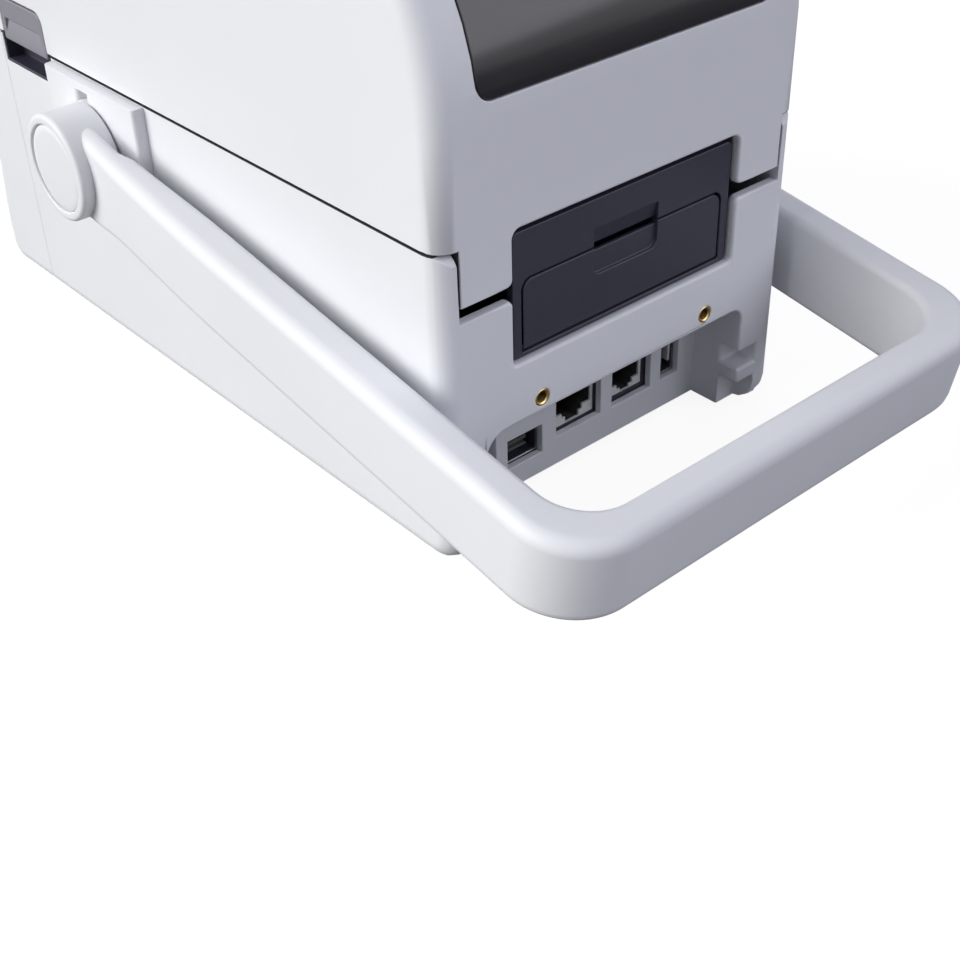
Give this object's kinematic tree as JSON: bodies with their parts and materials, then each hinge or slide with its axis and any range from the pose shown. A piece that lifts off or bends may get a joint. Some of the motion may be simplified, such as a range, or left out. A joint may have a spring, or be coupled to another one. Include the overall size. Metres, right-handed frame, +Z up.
{
  "type": "desktop label printer",
  "caption": "Compact desktop label printer: white case, hinged roll cover with smoked window, carrying bail, rear media door and port bay, print unit with geared platen inside.",
  "frame": {"origin": "centre of the bounding box's footprint, on the surface that the feet stand on", "axes": "+Z up, the printer's front with its controls faces -Y, its rear and the bail's cross bar face +Y, +X is its right-hand side seen from the front"},
  "size_m": [0.142, 0.2687, 0.172],
  "materials": {
    "white_case": "fine satin moulded",
    "black_plastic": "fine satin moulded",
    "smoked_window": "polished, dark smoke",
    "gloss_panel": "polished",
    "grey_plastic": "fine satin moulded",
    "dark_liner": "fine satin moulded",
    "rubber": "matt",
    "steel": "zinc plated",
    "aluminium": "extruded",
    "ceramic": "glazed",
    "brass": "turned",
    "circuit_board": "solder mask",
    "natural_plastic": "moulded",
    "clear_lens": "frosted"
  },
  "bodies": {
    "case": {"lower_case": "white_case", "front_bezel": "white_case", "base_plate": "black_plastic", "rubber_feet": "rubber", "base_screws": "steel", "main_board": "circuit_board", "board_standoffs": "brass", "usb_b_socket": "steel", "lan_socket": "steel", "serial_socket": "steel", "usb_a_socket": "steel", "dc_inlet": "black_plastic", "insert_left": "brass", "insert_right": "brass", "finger_cups": "black_plastic", "door_frame": "black_plastic", "plate_left": "steel", "plate_right": "steel", "platen_bushes": "natural_plastic", "idler_axle": "steel", "stepper_motor": "steel", "tear_bar": "steel", "media_sensor": "black_plastic", "roll_bay": "dark_liner", "guide_rail": "dark_liner", "control_panel": "gloss_panel", "status_lenses": "clear_lens", "control_board": "circuit_board", "handle_mount_left": "white_case", "handle_mount_right": "white_case", "handle_axle_left": "steel", "handle_axle_right": "steel", "friction_washers": "steel", "hinge_pins": "steel"},
    "rear_door": {"rear_door": "black_plastic"},
    "power_button": {"power_button": "grey_plastic"},
    "feed_button": {"feed_button": "grey_plastic"},
    "menu_button": {"menu_button": "grey_plastic"},
    "platen": {"platen_shaft": "steel", "platen_roller": "rubber", "platen_gear": "natural_plastic"},
    "idler": {"idler_gear": "natural_plastic"},
    "pinion": {"motor_pinion": "brass"},
    "guide_right": {"guide_right": "grey_plastic"},
    "guide_left": {"guide_left": "grey_plastic"},
    "guide_pinion": {"guide_pinion": "natural_plastic"},
    "handle": {"handle_bail": "white_case", "hub_cap_left": "white_case", "hub_cap_right": "white_case"},
    "cover": {"hinge_arms": "black_plastic", "cover_shell": "white_case", "cover_window": "smoked_window", "cover_liner": "black_plastic", "head_bracket": "aluminium", "head_rod": "steel", "print_head": "ceramic", "head_springs": "steel"},
    "lever_left": {"latch_lever_left": "grey_plastic"},
    "lever_right": {"latch_lever_right": "grey_plastic"}
  },
  "joints": [
    {"name": "handle_swing", "type": "hinge", "parent": "case", "child": "handle", "pos_m": [0, -0.05386, 0.062], "axis": [1, 0, 0], "range_deg": [0, 99.5]},
    {"name": "cover_open", "type": "hinge", "parent": "case", "child": "cover", "pos_m": [0, 0.07614, 0.076], "axis": [-1, 0, 0], "range_deg": [0, 85]},
    {"name": "lever_left_pull", "type": "hinge", "parent": "cover", "child": "lever_left", "pos_m": [-0.0528, -0.09236, 0.0898], "axis": [0, 1, 0], "range_deg": [0, 9], "stiffness_Nm_per_rad": 0.05},
    {"name": "lever_right_pull", "type": "hinge", "parent": "cover", "child": "lever_right", "pos_m": [0.0528, -0.09236, 0.0898], "axis": [0, -1, 0], "range_deg": [0, 9], "stiffness_Nm_per_rad": 0.05},
    {"name": "rear_door_tilt", "type": "hinge", "parent": "case", "child": "rear_door", "pos_m": [0, 0.07814, 0.0508], "axis": [-1, 0, 0], "range_deg": [0, 80]},
    {"name": "power_button_press", "type": "slide", "parent": "case", "child": "power_button", "axis": [0, 0.9903, -0.1392], "range_m": [0, 0.001], "stiffness_N_per_m": 600},
    {"name": "feed_button_press", "type": "slide", "parent": "case", "child": "feed_button", "axis": [0, 0.9903, -0.1392], "range_m": [0, 0.001], "stiffness_N_per_m": 600},
    {"name": "menu_button_press", "type": "slide", "parent": "case", "child": "menu_button", "axis": [0, 0.9903, -0.1392], "range_m": [0, 0.001], "stiffness_N_per_m": 600},
    {"name": "platen_spin", "type": "hinge", "parent": "case", "child": "platen", "pos_m": [0, -0.10596, 0.074], "axis": [1, 0, 0], "continuous": true},
    {"name": "idler_spin", "type": "hinge", "parent": "case", "child": "idler", "pos_m": [-0.046, -0.09377, 0.05426], "axis": [1, 0, 0], "continuous": true},
    {"name": "pinion_spin", "type": "hinge", "parent": "case", "child": "pinion", "pos_m": [-0.046, -0.08495, 0.03997], "axis": [1, 0, 0], "continuous": true},
    {"name": "guide_right_slide", "type": "slide", "parent": "case", "child": "guide_right", "axis": [-1, 0, 0], "range_m": [0, 0.022]},
    {"name": "guide_left_slide", "type": "slide", "parent": "case", "child": "guide_left", "axis": [1, 0, 0], "range_m": [0, 0.022]},
    {"name": "guide_pinion_turn", "type": "hinge", "parent": "case", "child": "guide_pinion", "pos_m": [0, -0.001, 0.03], "axis": [0, 0, 1], "range_deg": [0, 225.59]}
  ],
  "couplings": [
    {"joint": "idler_spin", "follows": "platen_spin", "ratio": -1.0714},
    {"joint": "pinion_spin", "follows": "platen_spin", "ratio": 2.1429},
    {"joint": "guide_left_slide", "follows": "guide_right_slide", "ratio": 1},
    {"joint": "guide_pinion_turn", "follows": "guide_right_slide", "rad_per_m": 178.57}
  ]
}
